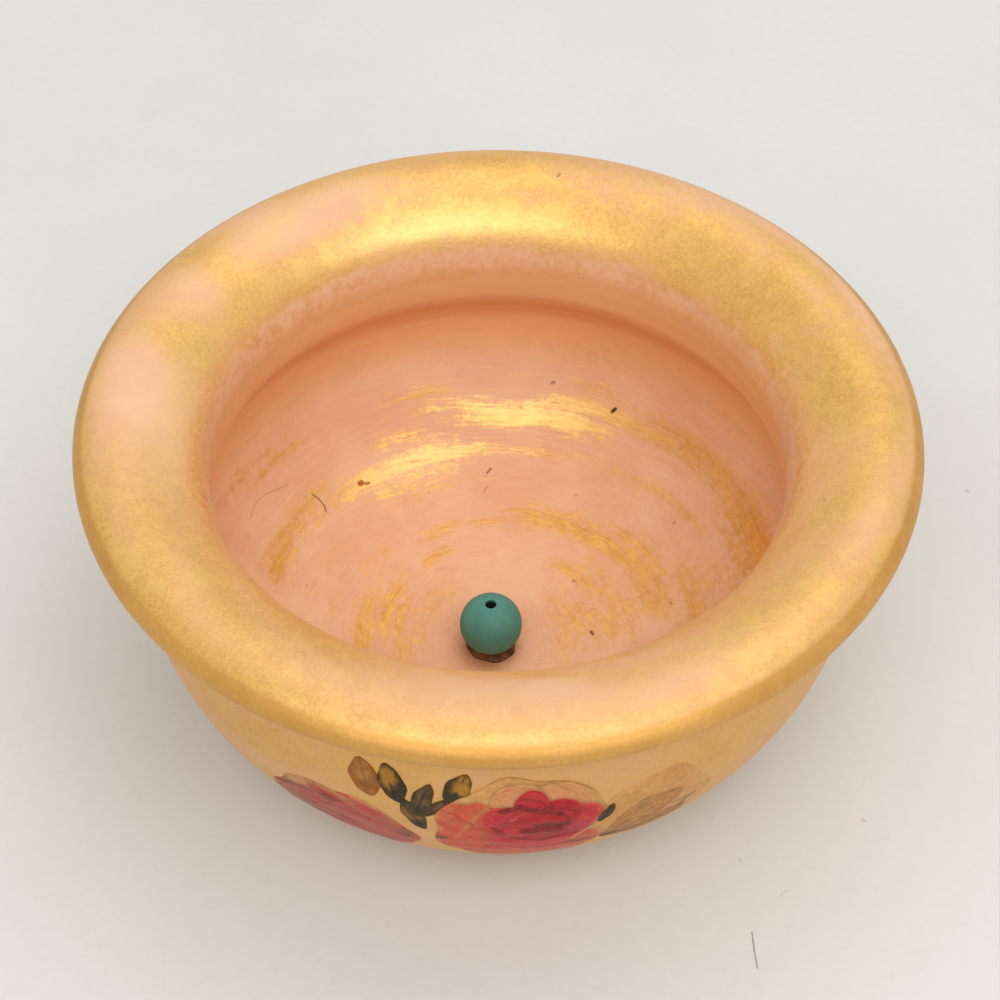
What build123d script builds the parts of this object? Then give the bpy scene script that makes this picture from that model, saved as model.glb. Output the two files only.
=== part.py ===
from build123d import *

import os
from math import atan2, cos, degrees, pi, radians, sin, sqrt

# A small thrown clay bowl with a wide flared rim, a glued bead standing on its
# floor, and paper roses glued round the front of its belly.
# Millimetres. The origin is the centre of the foot, +Z is up and -Y is the front.

# ---------------------------------------------------------------- bowl, outside
RIM_RADIUS = 50.5  # widest circle of the rim
RIM_CIRCLE_Z = 43.2  # height of that circle
CREST_RADIUS = 45.3  # highest circle of the rim
CREST_Z = 46.4
ARRIS_RADIUS = 48.8  # crease between the rim's top and its outer face
ARRIS_Z = 45.4
LOWER_EDGE_RADIUS = 49.0  # lower edge of the rim's outer face
LOWER_EDGE_Z = 41.5
NECK_RADIUS = 39.8  # groove between the rim and the belly
NECK_Z = 38.0
BELLY_RADIUS = 44.6  # the belly is part of an ellipsoid
BELLY_Z = 29.1
BELLY_HALF_HEIGHT = 37.1
SHOULDER_ANGLE = 7.0  # degrees above BELLY_Z at which the belly leaves the ellipse

# ----------------------------------------------------------------- bowl, inside
THROAT_RADIUS = 35.0  # narrowest circle of the hole
THROAT_Z = 33.0
HOLLOW_RADIUS = 39.3  # widest circle of the hollow
HOLLOW_Z = 24.4
FLOOR_Z = 4.6
FLAT_FLOOR_RADIUS = 8.0

# --------------------------------------------------------------- bead and glue
BEAD_RADIUS = 4.0
BEAD_HOLE_RADIUS = 0.7
BEAD_X = -0.9
BEAD_Y = -1.8
BEAD_LIFT = 0.2  # glue under the bead
GLUE_RADIUS = 3.2
GLUE_HEIGHT = 1.0

# --------------------------------------------------------------- paper cut-outs
PAPER_THICKNESS = 0.15
GLUE_FILM = 0.02  # between the paper and the clay


def foot_angle():
    """Angle below BELLY_Z, in degrees, at which the belly's ellipse meets the foot."""
    return degrees(atan2(BELLY_Z / BELLY_HALF_HEIGHT, sqrt(1 - (BELLY_Z / BELLY_HALF_HEIGHT) ** 2)))


def belly_point(angle, grow=0.0):
    """Point (radius, height) of the belly's ellipse, moved out by grow on both half axes."""
    turn = radians(angle)
    return (BELLY_RADIUS + grow) * cos(turn), BELLY_Z + (BELLY_HALF_HEIGHT + grow) * sin(turn)


def make_bowl():
    """The whole pot as one revolved solid."""
    foot = belly_point(-foot_angle())
    shoulder = belly_point(SHOULDER_ANGLE)
    neck = (NECK_RADIUS, NECK_Z)
    lower_edge = (LOWER_EDGE_RADIUS, LOWER_EDGE_Z)
    rim = (RIM_RADIUS, RIM_CIRCLE_Z)
    arris = (ARRIS_RADIUS, ARRIS_Z)
    crest = (CREST_RADIUS, CREST_Z)
    throat = (THROAT_RADIUS, THROAT_Z)
    hollow = (HOLLOW_RADIUS, HOLLOW_Z)
    flat_floor = (FLAT_FLOOR_RADIUS, FLOOR_Z)
    with BuildPart() as pot:
        with BuildSketch(Plane.XZ):
            with BuildLine():
                Line((0, 0), foot)
                EllipticalCenterArc(
                    (0, BELLY_Z),
                    BELLY_RADIUS,
                    BELLY_HALF_HEIGHT,
                    -foot_angle(),
                    arc_size=foot_angle() + SHOULDER_ANGLE,
                )
                Spline(shoulder, (42.7, 36.0), neck, tangents=[(-0.15, 1), (-0.1, 1)])
                Spline(neck, (41.6, 40.7), (45.2, 41.9), lower_edge, tangents=[(-0.1, 1), (1, -0.2)])
                Spline(lower_edge, rim, tangents=[(1, 0.3), (0, 1)])
                Spline(rim, arris, tangents=[(0, 1), (-0.77, 0.64)])
                Spline(arris, (47.4, 46.05), crest, tangents=[(-0.85, 0.53), (-1, 0)])
                Spline(
                    crest,
                    (43.0, 46.1),
                    (41.0, 45.3),
                    (39.0, 44.1),
                    (37.3, 42.7),
                    (36.0, 41.2),
                    (35.2, 39.2),
                    throat,
                    tangents=[(-1, 0), (0, -1)],
                )
                Spline(throat, (35.8, 30.6), (37.8, 28.0), hollow, tangents=[(0, -1), (0, -1)])
                Spline(
                    hollow,
                    (38.7, 20.3),
                    (36.2, 15.2),
                    (31.6, 10.4),
                    (25.0, 7.0),
                    (17.0, 5.2),
                    flat_floor,
                    tangents=[(0, -1), (-1, 0)],
                )
                Line(flat_floor, (0, FLOOR_Z))
                Line((0, FLOOR_Z), (0, 0))
            make_face()
        revolve(axis=Axis.Z)
    return pot.part


def bead_centre():
    return BEAD_X, BEAD_Y, FLOOR_Z + BEAD_LIFT + sqrt(BEAD_RADIUS**2 - BEAD_HOLE_RADIUS**2)


def make_bead():
    """A ball with a drilled hole, standing on one mouth of the hole."""
    ball = Sphere(BEAD_RADIUS) - Cylinder(BEAD_HOLE_RADIUS, 3 * BEAD_RADIUS)
    return Pos(*bead_centre()) * ball


def make_glue_dab():
    """A low round dab that fills the space under the bead, stops its hole and creeps up its side."""
    centre_height = bead_centre()[2] - FLOOR_Z
    creep_radius = sqrt(BEAD_RADIUS**2 - (centre_height - GLUE_HEIGHT) ** 2)
    with BuildPart() as dab:
        with BuildSketch(Plane.XZ):
            with BuildLine():
                Line((0, 0), (GLUE_RADIUS, 0))
                Line((GLUE_RADIUS, 0), (GLUE_RADIUS, 0.15))
                Spline((GLUE_RADIUS, 0.15), (creep_radius, GLUE_HEIGHT), tangents=[(-1, 0.15), (-0.3, 1)])
                Line((creep_radius, GLUE_HEIGHT), (0, GLUE_HEIGHT))
                Line((0, GLUE_HEIGHT), (0, 0))
            make_face()
        revolve(axis=Axis.Z)
    bead_space = Pos(0, 0, centre_height) * Sphere(BEAD_RADIUS)
    stopper = Cylinder(BEAD_HOLE_RADIUS, BEAD_LIFT, align=(Align.CENTER, Align.CENTER, Align.MIN))
    return Pos(BEAD_X, BEAD_Y, FLOOR_Z) * ((dab.part - bead_space) + stopper)


def paper_shell():
    """The skin of paper round the whole belly, from which each cut-out is taken."""
    low = 4 - foot_angle()
    high = SHOULDER_ANGLE
    inner = GLUE_FILM
    outer = GLUE_FILM + PAPER_THICKNESS
    with BuildPart() as skin:
        with BuildSketch(Plane.XZ):
            with BuildLine():
                for grow in (inner, outer):
                    EllipticalCenterArc(
                        (0, BELLY_Z),
                        BELLY_RADIUS + grow,
                        BELLY_HALF_HEIGHT + grow,
                        low,
                        arc_size=high - low,
                    )
                Line(belly_point(low, inner), belly_point(low, outer))
                Line(belly_point(high, inner), belly_point(high, outer))
            make_face()
        revolve(axis=Axis.Z)
    return skin.part


def scalloped(centre, half_width, half_height, petals, depth):
    """Face with a wavy edge: one bulge for each petal of a printed rose."""
    points = []
    for step in range(2 * petals):
        turn = pi * step / petals
        reach = 1 - depth * (step % 2)
        x = centre[0] + reach * half_width * cos(turn)
        z = centre[1] + reach * half_height * sin(turn)
        points.append((x, z))
    return make_face(Spline(*points, periodic=True))


def leaf(base, tip, width):
    """Face of a pointed leaf between its base and its tip."""
    start, end = Vector(*base), Vector(*tip)
    middle = (start + end) / 2
    along = (end - start).normalized()
    side = Vector(-along.Y, along.X) * width / 2
    edges = [ThreePointArc(start, middle + side, end), ThreePointArc(end, middle - side, start)]
    return make_face(edges)


def cutter(face, azimuth):
    """A face drawn on the upright plane that faces azimuth, swept out through the belly.

    Azimuth is in degrees from the front, positive towards +X. The face's x runs to the
    right as seen from outside and its y is the height above the foot.
    """
    turn = radians(azimuth)
    facing = Plane(origin=(0, 0, 0), x_dir=(cos(turn), sin(turn), 0), z_dir=(sin(turn), -cos(turn), 0))
    return extrude(facing * face, amount=RIM_RADIUS)


def paper_cutters():
    """Outline of each paper cut-out, the topmost first."""
    sprig = (
        leaf((-3.2, 26.9), (-4.9, 33.4), 3.2)
        + leaf((2.2, 28.2), (4.4, 33.5), 3.0)
        + leaf((-1.7, 25.2), (0.3, 31.3), 2.4)
        + leaf((-0.6, 21.5), (-3.0, 28.0), 2.4)
        + leaf((-2.2, 24.0), (3.4, 29.6), 1.6)
    )
    return {
        "centre_rose": cutter(scalloped((0, 22.5), 10.6, 10.8, 7, 0.07), 4),
        "left_rose": cutter(scalloped((0, 18.0), 9.6, 8.0, 6, 0.08), -25),
        "bud_sprig": cutter(sprig, -10),
        "tan_leaf": cutter(leaf((0.8, 26.8), (-0.6, 33.3), 3.8), -19.5),
        "small_leaf": cutter(leaf((-0.6, 22.4), (1.0, 26.0), 1.6), 15.8),
        "leaf_spray": cutter(scalloped((0, 21.8), 7.6, 8.2, 5, 0.10), 24),
    }


def make_paper():
    """The paper cut-outs, each trimmed where a cut-out above it lies over it."""
    skin = paper_shell()
    pieces = {}
    above = []
    for name, shape in paper_cutters().items():
        pieces[name] = skin & shape
        for upper in above:
            pieces[name] -= upper
        above.append(shape)
    return pieces


if __name__ == "__main__":
    os.makedirs("parts", exist_ok=True)
    nodes = {"bowl": make_bowl(), "bead": make_bead(), "glue_dab": make_glue_dab()}
    nodes.update(make_paper())
    for name, shape in nodes.items():
        export_step(shape, f"parts/{name}.step")
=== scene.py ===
import math

import bpy
import numpy as np
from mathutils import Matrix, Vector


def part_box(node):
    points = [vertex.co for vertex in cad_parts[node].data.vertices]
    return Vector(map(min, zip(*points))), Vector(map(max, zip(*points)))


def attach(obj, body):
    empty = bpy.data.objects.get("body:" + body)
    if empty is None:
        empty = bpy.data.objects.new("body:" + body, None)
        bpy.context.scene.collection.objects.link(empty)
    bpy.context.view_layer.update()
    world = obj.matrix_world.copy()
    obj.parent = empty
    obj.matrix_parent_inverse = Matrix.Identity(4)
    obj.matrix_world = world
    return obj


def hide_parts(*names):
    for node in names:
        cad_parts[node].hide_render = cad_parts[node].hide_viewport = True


# A painted clay bowl with a glued bead and paper roses, in metres, +Z up, front towards -Y.

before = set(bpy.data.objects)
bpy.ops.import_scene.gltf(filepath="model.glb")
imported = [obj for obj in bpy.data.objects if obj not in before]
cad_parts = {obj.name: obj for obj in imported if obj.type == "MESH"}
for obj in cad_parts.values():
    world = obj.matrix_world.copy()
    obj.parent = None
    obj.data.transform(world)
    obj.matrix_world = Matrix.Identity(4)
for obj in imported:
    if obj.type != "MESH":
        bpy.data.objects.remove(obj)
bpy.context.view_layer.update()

MM = 0.001
BOWL_LOW, BOWL_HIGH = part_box("bowl")
RIM_RADIUS = (BOWL_HIGH.x - BOWL_LOW.x) / 2 / MM
RIM_TOP = BOWL_HIGH.z / MM

# The bowl's section in millimetres, as (radius, height), from the foot round to the floor.
BELLY_RADIUS = 44.6
BELLY_Z = 29.1
BELLY_HALF_HEIGHT = 37.1
SHOULDER_Z = 33.62
CREST_RADIUS = 45.3
FLOOR_Z = 4.6
NECK = (39.8, 38.0)
LOWER_EDGE = (49.0, 41.5)
RIM_CIRCLE = (RIM_RADIUS, 43.2)
ARRIS = (48.8, 45.4)
CREST = (CREST_RADIUS, RIM_TOP)
THROAT = (35.0, 33.0)
HOLLOW = (39.3, 24.4)
FLARE = [(43.0, 46.1), (41.0, 45.3), (39.0, 44.1), (37.3, 42.7), (36.0, 41.2), (35.2, 39.2)]
INNER_WALL = [(38.7, 20.3), (36.2, 15.2), (31.6, 10.4), (25.0, 7.0), (17.0, 5.2)]
COLUMNS = 512


# ------------------------------------------------------------------ curves and noise


def smooth(low, high, value):
    """0 below low, 1 above high, eased in between; low may be above high."""
    t = np.clip((value - low) / (high - low), 0, 1)
    return t * t * (3 - 2 * t)


def mix(a, b, share):
    """Blend of two colours or arrays of colours."""
    share = np.asarray(share)[..., None]
    return np.asarray(a) * (1 - share) + np.asarray(b) * share


def spline(points, start, end, steps):
    """Smooth curve through points, leaving along start and arriving along end."""
    points = np.array(points, float)
    spans = np.linalg.norm(np.diff(points, axis=0), axis=1)
    knots = np.concatenate([[0], np.cumsum(spans)])
    slopes = np.zeros_like(points)
    slopes[0] = np.array(start) / np.linalg.norm(start)
    slopes[-1] = np.array(end) / np.linalg.norm(end)
    for i in range(1, len(points) - 1):
        before = (points[i] - points[i - 1]) / spans[i - 1]
        after = (points[i + 1] - points[i]) / spans[i]
        slopes[i] = (before * spans[i] + after * spans[i - 1]) / (spans[i] + spans[i - 1])
    at = np.linspace(0, knots[-1], steps)
    i = np.clip(np.searchsorted(knots, at, side="right") - 1, 0, len(spans) - 1)
    width = spans[i][:, None]
    t = ((at - knots[i]) / spans[i])[:, None]
    return (
        (2 * t**3 - 3 * t**2 + 1) * points[i]
        + (t**3 - 2 * t**2 + t) * width * slopes[i]
        + (3 * t**2 - 2 * t**3) * points[i + 1]
        + (t**3 - t**2) * width * slopes[i + 1]
    )


def value_noise(x, y, seed):
    """Smooth noise in the plane, -1 to 1, one feature per unit."""
    lattice = np.random.default_rng(seed).uniform(-1, 1, (64, 64))
    xi = np.floor(x).astype(int)
    yi = np.floor(y).astype(int)
    fx = smooth(0, 1, x - xi)
    fy = smooth(0, 1, y - yi)
    low = lattice[xi % 64, yi % 64] * (1 - fx) + lattice[(xi + 1) % 64, yi % 64] * fx
    high = lattice[xi % 64, (yi + 1) % 64] * (1 - fx) + lattice[(xi + 1) % 64, (yi + 1) % 64] * fx
    return low * (1 - fy) + high * fy


def fractal(x, y, seed, octaves=3):
    """Sum of value noises, each finer and fainter."""
    total = 0
    for octave in range(octaves):
        total = total + value_noise(x * 2**octave, y * 2**octave, seed + octave) / 2**octave
    return total / 1.75


# ---------------------------------------------------------------------- bowl section


def belly_ellipse(z):
    return BELLY_RADIUS * np.sqrt(1 - ((np.asarray(z) - BELLY_Z) / BELLY_HALF_HEIGHT) ** 2)


def shoulder_curve(steps):
    start = (float(belly_ellipse(SHOULDER_Z)), SHOULDER_Z)
    return spline([start, (42.7, 36.0), NECK], (-0.15, 1), (-0.1, 1), steps)


def bowl_section():
    """Section from the centre of the foot, round the outside, over the rim, to the floor's centre."""
    foot_turn = -math.asin(BELLY_Z / BELLY_HALF_HEIGHT)
    shoulder_turn = math.asin((SHOULDER_Z - BELLY_Z) / BELLY_HALF_HEIGHT)
    turns = np.linspace(foot_turn, shoulder_turn, 40)
    belly = np.stack(
        [BELLY_RADIUS * np.cos(turns), BELLY_Z + BELLY_HALF_HEIGHT * np.sin(turns)], axis=1
    )
    foot = spline([(belly[0, 0] - 1.6, 0), belly[2]], (1, 0), belly[3] - belly[2], 6)
    ground = np.stack([np.linspace(0.6, foot[0, 0] - 0.8, 10), np.zeros(10)], axis=1)
    runs = [
        ground,
        foot,
        belly[3:],
        shoulder_curve(6)[1:],
        spline([NECK, (41.6, 40.7), (45.2, 41.9), LOWER_EDGE], (-0.1, 1), (1, -0.2), 12)[1:],
        spline([LOWER_EDGE, RIM_CIRCLE], (1, 0.3), (0, 1), 6)[1:],
        spline([RIM_CIRCLE, ARRIS], (0, 1), (-0.77, 0.64), 8)[1:],
        spline([ARRIS, (47.4, 46.05), CREST], (-0.85, 0.53), (-1, 0), 10)[1:],
        spline([CREST, *FLARE, THROAT], (-1, 0), (0, -1), 26)[1:],
        spline([THROAT, (35.8, 30.6), (37.8, 28.0), HOLLOW], (0, -1), (0, -1), 16)[1:],
        spline([HOLLOW, *INNER_WALL, (8.0, FLOOR_Z)], (0, -1), (-1, 0), 56)[1:],
        np.stack([np.linspace(7.2, 0.6, 9), np.full(9, FLOOR_Z)], axis=1),
    ]
    return np.concatenate(runs)


def thrown(radius, height, azimuth):
    """Hand-made unevenness: the radius and height of a point of the section at an azimuth."""
    share = radius / RIM_RADIUS
    drift = 0.16 * np.sin(2 * azimuth + 0.7) + 0.09 * np.sin(3 * azimuth + 2.0)
    ridges = 0.035 * np.sin(2 * math.pi * height / 2.7 + 0.8 * np.sin(azimuth) + 1.3 * np.sin(2 * azimuth))
    lift = 0.10 * np.sin(2 * azimuth + 2.3) * smooth(30, 45, height) * share
    return radius + drift * share + ridges * smooth(3, 8, height), height + lift


def place(radius, height, azimuth):
    """Points in metres; azimuth is measured from the front, positive towards +X."""
    return np.stack([radius * np.sin(azimuth), -radius * np.cos(azimuth), height], axis=-1) * MM


def add_mesh(name, points, faces, material, floats=None, vectors=None, colours=None):
    """A smooth mesh piece that rides on the part, with named values on its points."""
    mesh = bpy.data.meshes.new(name)
    mesh.from_pydata([tuple(p) for p in points], [], [tuple(int(i) for i in f) for f in faces])
    mesh.update()
    for polygon in mesh.polygons:
        polygon.use_smooth = True
    for key, values in (floats or {}).items():
        flat = np.ravel(values).astype(np.float32)
        mesh.attributes.new(key, "FLOAT", "POINT").data.foreach_set("value", flat)
    for key, values in (vectors or {}).items():
        flat = np.reshape(values, (-1, 3)).ravel().astype(np.float32)
        mesh.attributes.new(key, "FLOAT_VECTOR", "POINT").data.foreach_set("vector", flat)
    for key, values in (colours or {}).items():
        rgb = np.reshape(values, (-1, 3))
        rgba = np.concatenate([rgb, np.ones((len(rgb), 1))], axis=1).ravel().astype(np.float32)
        mesh.attributes.new(key, "FLOAT_COLOR", "POINT").data.foreach_set("color", rgba)
    mesh.materials.append(material)
    piece = bpy.data.objects.new(name, mesh)
    bpy.context.scene.collection.objects.link(piece)
    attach(piece, "root")
    return piece


def grid_faces(rows, columns, closed):
    """Quads of a grid of points, row by row; closed joins the last column to the first."""
    faces = []
    for r in range(rows - 1):
        for c in range(columns if closed else columns - 1):
            d = (c + 1) % columns
            faces.append((r * columns + c, r * columns + d, (r + 1) * columns + d, (r + 1) * columns + c))
    return faces


# ------------------------------------------------------------------- material nodes


def wire(tree, socket, value):
    """Sets a socket, or links it when the value is another node's output."""
    if isinstance(value, bpy.types.NodeSocket):
        tree.links.new(value, socket)
    elif isinstance(value, (tuple, list)) and socket.type == "RGBA":
        socket.default_value = (*value[:3], 1)
    else:
        socket.default_value = value


def add_node(tree, kind, values, **settings):
    """Adds a node; values maps an input's name or number to a value or an output."""
    made = tree.nodes.new(kind)
    for key, value in settings.items():
        setattr(made, key, value)
    for key, value in values.items():
        wire(tree, made.inputs[key], value)
    return made


def calc(tree, operation, *values):
    return add_node(tree, "ShaderNodeMath", dict(enumerate(values)), operation=operation).outputs[0]


def times(tree, a, b):
    return calc(tree, "MULTIPLY", a, b)


def blend(tree, share, a, b):
    """Colour mix of a and b."""
    made = add_node(tree, "ShaderNodeMix", {}, data_type="RGBA")
    wire(tree, made.inputs[0], share)
    wire(tree, made.inputs[6], a)
    wire(tree, made.inputs[7], b)
    return made.outputs[2]


def step(tree, value, low, high, to_low=0.0, to_high=1.0):
    """Eased ramp of value from low to high."""
    values = {"Value": value, "From Min": low, "From Max": high, "To Min": to_low, "To Max": to_high}
    return add_node(tree, "ShaderNodeMapRange", values, interpolation_type="SMOOTHSTEP").outputs[0]


def noise(tree, where, scale, detail=3.0, roughness=0.55, distortion=0.0):
    values = {"Vector": where, "Scale": scale, "Detail": detail}
    values |= {"Roughness": roughness, "Distortion": distortion}
    return add_node(tree, "ShaderNodeTexNoise", values).outputs[0]


def new_material(name):
    """An empty node material, its tree, and the place on the piece that its textures follow."""
    material = bpy.data.materials.new(name)
    material.use_nodes = True
    tree = material.node_tree
    tree.nodes.clear()
    return material, tree, add_node(tree, "ShaderNodeTexCoord", {}).outputs["Object"]


def attribute(tree, name, output="Fac"):
    made = tree.nodes.new("ShaderNodeAttribute")
    made.attribute_type = "GEOMETRY"
    made.attribute_name = name
    return made.outputs[output]


def bump(tree, height, distance, strength=1.0, normal=None):
    values = {"Height": height, "Distance": distance, "Strength": strength}
    if normal is not None:
        values["Normal"] = normal
    return add_node(tree, "ShaderNodeBump", values).outputs[0]


def surface(tree, colour, roughness, specular, normal, metallic=0.0):
    """The material's shader, joined to its output."""
    values = {"Base Color": colour, "Metallic": metallic, "Roughness": roughness}
    values |= {"Specular IOR Level": specular, "Normal": normal}
    shader = add_node(tree, "ShaderNodeBsdfPrincipled", values)
    out = tree.nodes.new("ShaderNodeOutputMaterial")
    tree.links.new(shader.outputs[0], out.inputs[0])


def vector_calc(tree, operation, values, output=0):
    return add_node(tree, "ShaderNodeVectorMath", values, operation=operation).outputs[output]


def near_line(tree, where, start, end, width):
    """1 within about width of the segment from start to end, 0 away from it."""
    along = [b - a for a, b in zip(start, end)]
    length = sum(v * v for v in along)
    reach = tuple(v / length for v in along)
    offset = vector_calc(tree, "SUBTRACT", {0: where, 1: tuple(start)})
    share = vector_calc(tree, "DOT_PRODUCT", {0: offset, 1: reach}, "Value")
    share = calc(tree, "MINIMUM", calc(tree, "MAXIMUM", share, 0.0), 1.0)
    nearest = vector_calc(tree, "SCALE", {0: tuple(along), "Scale": share})
    gap = vector_calc(tree, "DISTANCE", {0: offset, 1: nearest}, "Value")
    return step(tree, gap, width * 1.3, width * 0.5)


def add_specks(tree, where, colour, marks):
    """Dust, fibres and smudges on a surface, each a short line of its own colour and strength; one smudge on
    the bowl holds painted shadow.
    """
    wander = noise(tree, where, 1600, 2, 0.5)
    for points, width, tint, strength in marks:
        for start, end in zip(points[:-1], points[1:]):
            speck = near_line(tree, where, start, end, width)
            speck = times(tree, speck, step(tree, wander, 0.25, 0.45, 0.4, 1.0))
            colour = blend(tree, times(tree, speck, strength), colour, tint)
    return colour


def centred(tree, value, share):
    """A noise value moved to swing evenly either side of nought."""
    return times(tree, calc(tree, "SUBTRACT", value, 0.5), share)


def total(tree, first, *rest):
    for value in rest:
        first = calc(tree, "ADD", first, value)
    return first


PAINT_VALUES = ("gold", "glaze", "worn", "edge", "mottle", "pale", "painted_undercut_shade")


def painted_clay(marks):
    """Peach paint on clay with gold brushed over it, as strokes inside and as a thin glaze outside."""
    material, tree, where = new_material("painted_clay")
    brush = attribute(tree, "brush", "Vector")
    gold, glaze, worn, edge, mottle, pale, painted_undercut_shade = (attribute(tree, name) for name in PAINT_VALUES)
    bristles = noise(tree, brush, 1.0, 6, 0.64, 0.15)
    strands = noise(tree, brush, 2.7, 5, 0.65)
    cloud = noise(tree, where, 105, 4, 0.62)
    dabs = noise(tree, where, 360, 5, 0.66, 0.5)
    grain = noise(tree, where, 1100, 3, 0.6)
    fine = noise(tree, where, 2700, 2, 0.5)
    # the gold takes where its strength beats the marks left by bristles and dabs
    stroke_marks = total(
        tree,
        centred(tree, bristles, 1.35),
        centred(tree, strands, 1.30),
        centred(tree, dabs, 0.70),
        centred(tree, grain, 1.15),
        centred(tree, fine, 0.60),
    )
    glaze_marks = total(
        tree,
        centred(tree, bristles, 0.20),
        centred(tree, dabs, 1.00),
        centred(tree, cloud, 1.00),
        centred(tree, grain, 0.85),
        centred(tree, fine, 0.60),
    )
    glaze_marks = times(tree, glaze_marks, mottle)
    stroke = step(tree, calc(tree, "ADD", gold, stroke_marks), 0.24, 0.98)
    wash = step(tree, calc(tree, "ADD", gold, glaze_marks), 0.05, 1.02)
    cover = calc(tree, "ADD", stroke, times(tree, glaze, calc(tree, "SUBTRACT", wash, stroke)))
    peach = blend(tree, step(tree, cloud, 0.35, 0.68), (0.725, 0.400, 0.240), (0.785, 0.470, 0.292))
    unglazed = calc(tree, "SUBTRACT", 1.0, glaze)
    lifted = times(tree, step(tree, strands, 0.48, 0.70, 0, 0.42), unglazed)
    peach = blend(tree, lifted, peach, (0.82, 0.535, 0.35))
    rubbed = step(tree, total(tree, bristles, centred(tree, strands, 0.8)), 0.42, 0.26, 0, 0.26)
    rubbed = times(tree, rubbed, unglazed)
    peach = blend(tree, rubbed, peach, (0.66, 0.310, 0.140))
    flecks = total(tree, times(tree, dabs, 0.35), times(tree, grain, 0.65))
    scuffs = times(tree, worn, step(tree, flecks, 0.42, 0.62, 0, 0.75))
    ochre = blend(tree, step(tree, strands, 0.35, 0.66), (0.62, 0.315, 0.060), (0.80, 0.460, 0.110))
    glazed = blend(tree, step(tree, fine, 0.35, 0.66), (0.68, 0.375, 0.085), (0.79, 0.470, 0.125))
    ochre = blend(tree, glaze, ochre, glazed)
    ochre = blend(tree, step(tree, dabs, 0.42, 0.66, 0, 0.50), ochre, (0.90, 0.58, 0.165))
    # painted highlight: paler peach and lemon gold where the front lamp's reflection falls, with some paler
    # paint
    peach = blend(tree, times(tree, pale, 0.55), peach, (0.86, 0.580, 0.400))
    ochre = blend(tree, times(tree, pale, 0.80), ochre, (0.94, 0.720, 0.310))
    colour = blend(tree, times(tree, cover, 0.92), peach, ochre)
    # painted shade: the wall under the throat's overhang turned warmer orange
    undercut_shading = times(tree, painted_undercut_shade, step(tree, cloud, 0.25, 0.70, 0.45, 0.80))
    colour = blend(tree, undercut_shading, colour, (0.80, 0.410, 0.165))
    colour = blend(tree, scuffs, colour, (0.66, 0.290, 0.090))
    # painted shade, partly the thicker gold: darker ochre-brown blotches on the rim's outer face and the
    # belly
    blotches = total(tree, dabs, centred(tree, cloud, 0.8))
    deep = times(tree, edge, step(tree, blotches, 0.25, 0.72, 0.45, 0.85))
    colour = blend(tree, deep, colour, (0.56, 0.275, 0.060))
    colour = add_specks(tree, where, colour, marks)
    streaks = calc(tree, "MULTIPLY_ADD", strands, 0.35, times(tree, bristles, 0.7))
    streaks = times(tree, streaks, calc(tree, "MULTIPLY_ADD", glaze, -0.85, 1.0))
    relief = calc(tree, "MULTIPLY_ADD", cover, 0.20, streaks)
    normal = bump(tree, relief, 0.00015, 0.55)
    pits = times(tree, worn, times(tree, dabs, 3.0))
    pitted = total(tree, pits, times(tree, fine, 0.5), grain)
    normal = bump(tree, pitted, 0.00006, 0.45, normal)
    roughness = calc(tree, "MULTIPLY_ADD", cover, -0.16, 0.58)
    metallic = times(tree, cover, 0.60)
    surface(tree, colour, roughness, 0.28, normal, metallic)
    return material


def printed_paper(name, gloss):
    """Printed tissue under varnish: its colours are stored on the mesh."""
    material, tree, where = new_material(name)
    ink = attribute(tree, "ink", "Color")
    fibre = noise(tree, where, 1500, 5, 0.7, 1.5)
    mottle = noise(tree, where, 420, 4, 0.6)
    colour = blend(tree, step(tree, mottle, 0.40, 0.72, 0, 0.06), ink, (0.62, 0.30, 0.13))
    colour = blend(tree, step(tree, fibre, 0.60, 0.74, 0, 0.08), colour, (0.70, 0.42, 0.22))
    normal = bump(tree, calc(tree, "ADD", fibre, mottle), 0.00006, 0.5)
    roughness = calc(tree, "ADD", gloss, times(tree, mottle, 0.15))
    surface(tree, colour, roughness, 0.14, normal)
    return material


def teal_bead():
    """Soft-touch rubbery coating, slightly dusty, with painted shade near black inside its hole."""
    material, tree, where = new_material("teal_bead")
    patches = noise(tree, where, 260, 4, 0.6)
    dust = noise(tree, where, 3200, 3, 0.6)
    painted_bore_shade = attribute(tree, "painted_bore_shade")
    colour = blend(tree, step(tree, patches, 0.3, 0.7), (0.066, 0.224, 0.190), (0.087, 0.280, 0.237))
    colour = blend(tree, step(tree, dust, 0.60, 0.74, 0, 0.22), colour, (0.20, 0.36, 0.32))
    # painted shade: near black deep inside the bore
    colour = blend(tree, painted_bore_shade, colour, (0.012, 0.020, 0.018))
    normal = bump(tree, dust, 0.00003, 0.4)
    roughness = calc(tree, "ADD", 0.60, times(tree, patches, 0.12))
    surface(tree, colour, roughness, 0.25, normal)
    return material


def clear_glue():
    """Amber hot-melt glue, made very dark with the bead's shadow painted in, and lighter in its raised clots.
    """
    material, tree, where = new_material("clear_glue")
    clots = noise(tree, where, 900, 4, 0.6, 0.6)
    fine = noise(tree, where, 2600, 3, 0.6)
    # painted shadow: very dark amber for the shade under the bead, over the glue's own colour
    colour = blend(tree, step(tree, clots, 0.35, 0.65), (0.060, 0.024, 0.010), (0.19, 0.078, 0.026))
    colour = blend(tree, step(tree, fine, 0.60, 0.75, 0, 0.5), colour, (0.05, 0.020, 0.010))
    roughness = calc(tree, "ADD", 0.42, times(tree, clots, 0.16))
    normal = bump(tree, clots, 0.00020, 0.6)
    surface(tree, colour, roughness, 0.35, normal)
    return material


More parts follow.
